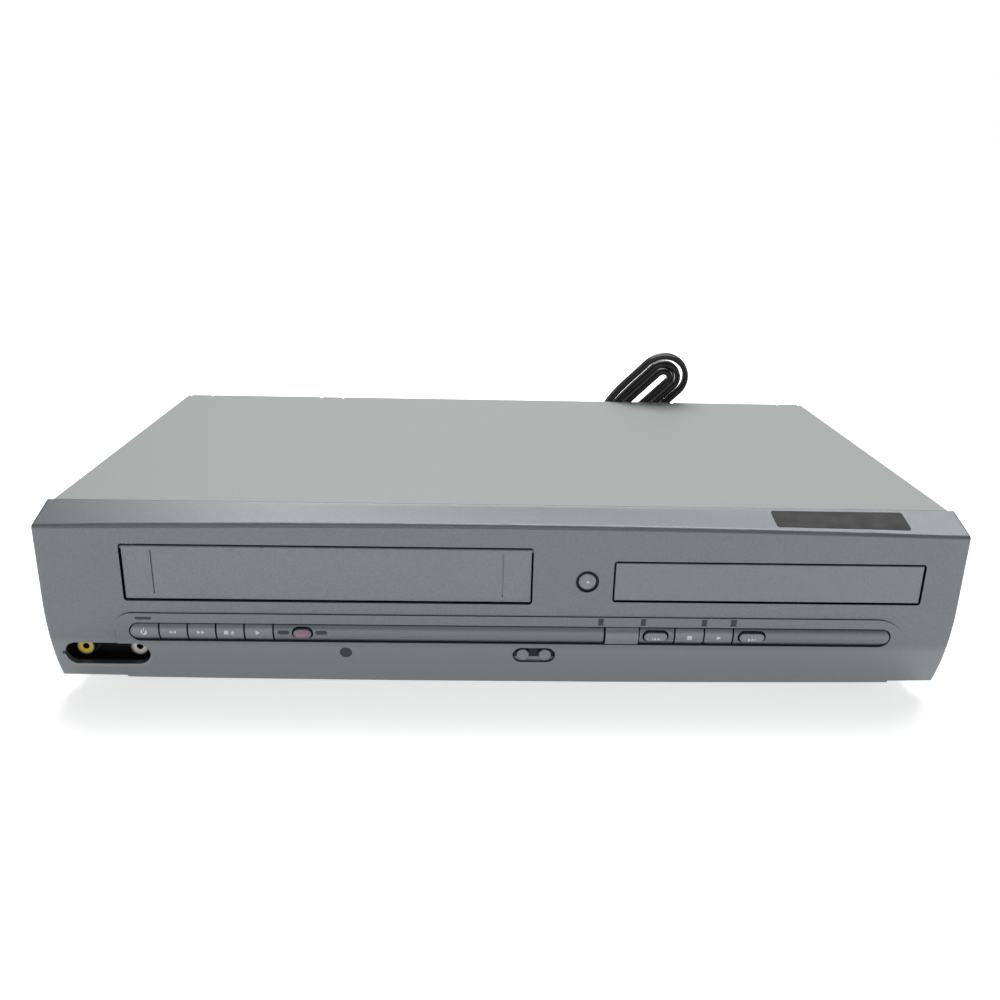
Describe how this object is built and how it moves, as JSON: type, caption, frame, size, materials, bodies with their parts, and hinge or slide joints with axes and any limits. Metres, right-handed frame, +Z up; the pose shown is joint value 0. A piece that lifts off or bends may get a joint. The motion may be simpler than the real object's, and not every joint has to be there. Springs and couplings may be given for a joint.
{
  "type": "dvd vcr combo player",
  "caption": "Low grey box-shaped video cassette and disc player with a wide cassette door, a disc drawer, a bar of push buttons and a folded mains cord behind it.",
  "frame": {"origin": "middle of the footprint on the surface that the feet stand on", "axes": "+Z up, +X to the right seen from the front, +Y to the rear"},
  "size_m": [0.435, 0.3151, 0.1351],
  "materials": {
    "painted_front": "satin metallic silver-grey paint on moulded plastic",
    "door_grey": "satin metallic grey",
    "button_grey": "satin metallic grey",
    "record_red": "satin dull red",
    "lens_dark": "smoked clear plastic",
    "painted_steel": "fine matt grey paint",
    "black_plastic": "moulded black",
    "zinc_steel": "galvanised sheet",
    "drum_alloy": "turned",
    "white_plastic": "moulded natural",
    "grey_plastic": "moulded grey",
    "rubber_black": "matt",
    "board_green": "lacquered laminate with black parts",
    "motor_steel": "plated",
    "jack_plastic": "yellow and white moulded",
    "cord_black": "satin flexible jacket"
  },
  "bodies": {
    "case": {"front_panel": "painted_front", "indicator_lenses": "lens_dark", "front_jacks": "jack_plastic", "function_board": "board_green", "top_cover": "painted_steel", "cover_screws": "motor_steel", "bottom_chassis": "zinc_steel", "feet": "black_plastic", "rear_panel": "zinc_steel", "deck_chassis": "zinc_steel", "deck_brackets": "zinc_steel", "lower_drum": "drum_alloy", "loading_motor": "motor_steel", "tape_heads": "motor_steel", "loader_frame": "black_plastic", "spindle_motor": "motor_steel", "guide_rods": "motor_steel", "clamp_bridge": "zinc_steel", "tray_motor": "motor_steel", "main_board": "board_green", "power_board": "board_green", "rear_socket_board": "black_plastic", "tuner_module": "zinc_steel", "disc_board": "board_green", "strain_relief": "black_plastic", "cord_lead": "cord_black", "cord_hank": "cord_black", "cord_tail": "cord_black", "cord_tie": "cord_black", "mains_plug": "cord_black"},
    "door": {"cassette_door": "door_grey"},
    "holder": {"cassette_holder": "zinc_steel"},
    "upper_drum": {"head_drum": "drum_alloy"},
    "supply_reel": {"supply_reel_table": "white_plastic"},
    "take_up_reel": {"take_up_reel_table": "white_plastic"},
    "idler": {"reel_idler": "white_plastic"},
    "capstan": {"capstan_flywheel": "motor_steel"},
    "pinch_lever": {"pinch_arm": "motor_steel"},
    "pinch_wheel": {"pinch_roller": "rubber_black"},
    "loading_cam": {"loading_cam_gear": "white_plastic"},
    "drawer": {"disc_tray": "black_plastic", "tray_front": "door_grey"},
    "turntable": {"spindle_turntable": "grey_plastic"},
    "pickup": {"pickup_sled": "grey_plastic"},
    "clamp_puck": {"disc_clamp": "white_plastic"},
    "drawer_gear": {"tray_drive_gear": "white_plastic"},
    "power_button": {"power_button": "button_grey"},
    "rewind_button": {"rewind_button": "button_grey"},
    "fast_forward_button": {"fast_forward_button": "button_grey"},
    "stop_eject_button": {"stop_eject_button": "button_grey"},
    "cassette_play_button": {"cassette_play_button": "button_grey"},
    "disc_stop_button": {"disc_stop_button": "button_grey"},
    "disc_play_button": {"disc_play_button": "button_grey"},
    "record_button": {"record_button": "record_red"},
    "previous_button": {"previous_button": "button_grey"},
    "next_button": {"next_button": "button_grey"},
    "source_button": {"source_button": "button_grey"},
    "channel_down_button": {"channel_down_button": "button_grey"},
    "channel_up_button": {"channel_up_button": "button_grey"},
    "open_close_button": {"open_close_button": "button_grey"}
  },
  "joints": [
    {"name": "door_hinge", "type": "hinge", "parent": "case", "child": "door", "pos_m": [-0.08335, -0.12847, 0.083], "axis": [1, 0, 0], "range_deg": [0, 75], "stiffness_Nm_per_rad": 0.004, "springref_deg": -11.46},
    {"name": "holder_drop", "type": "slide", "parent": "case", "child": "holder", "axis": [0, 0, -1], "range_m": [0, 0.019]},
    {"name": "drum_spin", "type": "hinge", "parent": "case", "child": "upper_drum", "pos_m": [-0.08335, 0.05833, 0.0316], "axis": [0.0528, 0.0957, 0.994], "continuous": true},
    {"name": "supply_spin", "type": "hinge", "parent": "case", "child": "supply_reel", "pos_m": [-0.12935, -0.04767, 0.04], "axis": [0, 0, 1], "continuous": true},
    {"name": "take_up_spin", "type": "hinge", "parent": "case", "child": "take_up_reel", "pos_m": [-0.03735, -0.04767, 0.04], "axis": [0, 0, 1], "continuous": true},
    {"name": "idler_spin", "type": "hinge", "parent": "case", "child": "idler", "pos_m": [-0.08335, -0.02967, 0.036], "axis": [0, 0, 1], "continuous": true},
    {"name": "capstan_spin", "type": "hinge", "parent": "case", "child": "capstan", "pos_m": [-0.02135, 0.03133, 0.03], "axis": [0, 0, 1], "continuous": true},
    {"name": "pinch_swing", "type": "hinge", "parent": "case", "child": "pinch_lever", "pos_m": [-0.00135, 0.03733, 0.038], "axis": [0, 0, 1], "range_deg": [-14, 10]},
    {"name": "pinch_roll", "type": "hinge", "parent": "pinch_lever", "child": "pinch_wheel", "pos_m": [-0.01935, 0.01783, 0.05], "axis": [0, 0, 1], "continuous": true},
    {"name": "cam_turn", "type": "hinge", "parent": "case", "child": "loading_cam", "pos_m": [-0.15335, 0.02933, 0.036], "axis": [0, 0, 1], "range_deg": [-180, 180]},
    {"name": "drawer_slide", "type": "slide", "parent": "case", "child": "drawer", "axis": [0, -1, 0], "range_m": [0, 0.135]},
    {"name": "drawer_gear_turn", "type": "hinge", "parent": "case", "child": "drawer_gear", "pos_m": [0.07945, -0.10067, 0.061], "axis": [0, 0, 1], "range_deg": [-20, 700]},
    {"name": "turntable_spin", "type": "hinge", "parent": "case", "child": "turntable", "pos_m": [0.12445, -0.04267, 0.064], "axis": [0, 0, 1], "continuous": true},
    {"name": "pickup_slide", "type": "slide", "parent": "case", "child": "pickup", "axis": [0, 1, 0], "range_m": [0, 0.034]},
    {"name": "clamp_spin", "type": "hinge", "parent": "case", "child": "clamp_puck", "pos_m": [0.12445, -0.04267, 0.074], "axis": [0, 0, 1], "continuous": true},
    {"name": "power_press", "type": "slide", "parent": "case", "child": "power_button", "axis": [0, 1, 0], "range_m": [0, 0.0005], "stiffness_N_per_m": 300},
    {"name": "rewind_press", "type": "slide", "parent": "case", "child": "rewind_button", "axis": [0, 1, 0], "range_m": [0, 0.0005], "stiffness_N_per_m": 300},
    {"name": "fast_forward_press", "type": "slide", "parent": "case", "child": "fast_forward_button", "axis": [0, 1, 0], "range_m": [0, 0.0005], "stiffness_N_per_m": 300},
    {"name": "stop_eject_press", "type": "slide", "parent": "case", "child": "stop_eject_button", "axis": [0, 1, 0], "range_m": [0, 0.0005], "stiffness_N_per_m": 300},
    {"name": "cassette_play_press", "type": "slide", "parent": "case", "child": "cassette_play_button", "axis": [0, 1, 0], "range_m": [0, 0.0005], "stiffness_N_per_m": 300},
    {"name": "disc_stop_press", "type": "slide", "parent": "case", "child": "disc_stop_button", "axis": [0, 1, 0], "range_m": [0, 0.0005], "stiffness_N_per_m": 300},
    {"name": "disc_play_press", "type": "slide", "parent": "case", "child": "disc_play_button", "axis": [0, 1, 0], "range_m": [0, 0.0005], "stiffness_N_per_m": 300},
    {"name": "record_press", "type": "slide", "parent": "case", "child": "record_button", "axis": [0, 1, 0], "range_m": [0, 0.0005], "stiffness_N_per_m": 300},
    {"name": "previous_press", "type": "slide", "parent": "case", "child": "previous_button", "axis": [0, 1, 0], "range_m": [0, 0.0005], "stiffness_N_per_m": 300},
    {"name": "next_press", "type": "slide", "parent": "case", "child": "next_button", "axis": [0, 1, 0], "range_m": [0, 0.0005], "stiffness_N_per_m": 300},
    {"name": "source_press", "type": "slide", "parent": "case", "child": "source_button", "axis": [0, 1, 0], "range_m": [0, 0.0005], "stiffness_N_per_m": 300},
    {"name": "channel_down_press", "type": "slide", "parent": "case", "child": "channel_down_button", "axis": [0, 1, 0], "range_m": [0, 0.0005], "stiffness_N_per_m": 300},
    {"name": "channel_up_press", "type": "slide", "parent": "case", "child": "channel_up_button", "axis": [0, 1, 0], "range_m": [0, 0.0005], "stiffness_N_per_m": 300},
    {"name": "open_close_press", "type": "slide", "parent": "case", "child": "open_close_button", "axis": [0, 1, 0], "range_m": [0, 0.0005], "stiffness_N_per_m": 300}
  ],
  "couplings": [
    {"joint": "drawer_gear_turn", "follows": "drawer_slide", "rad_per_m": 83.333}
  ]
}
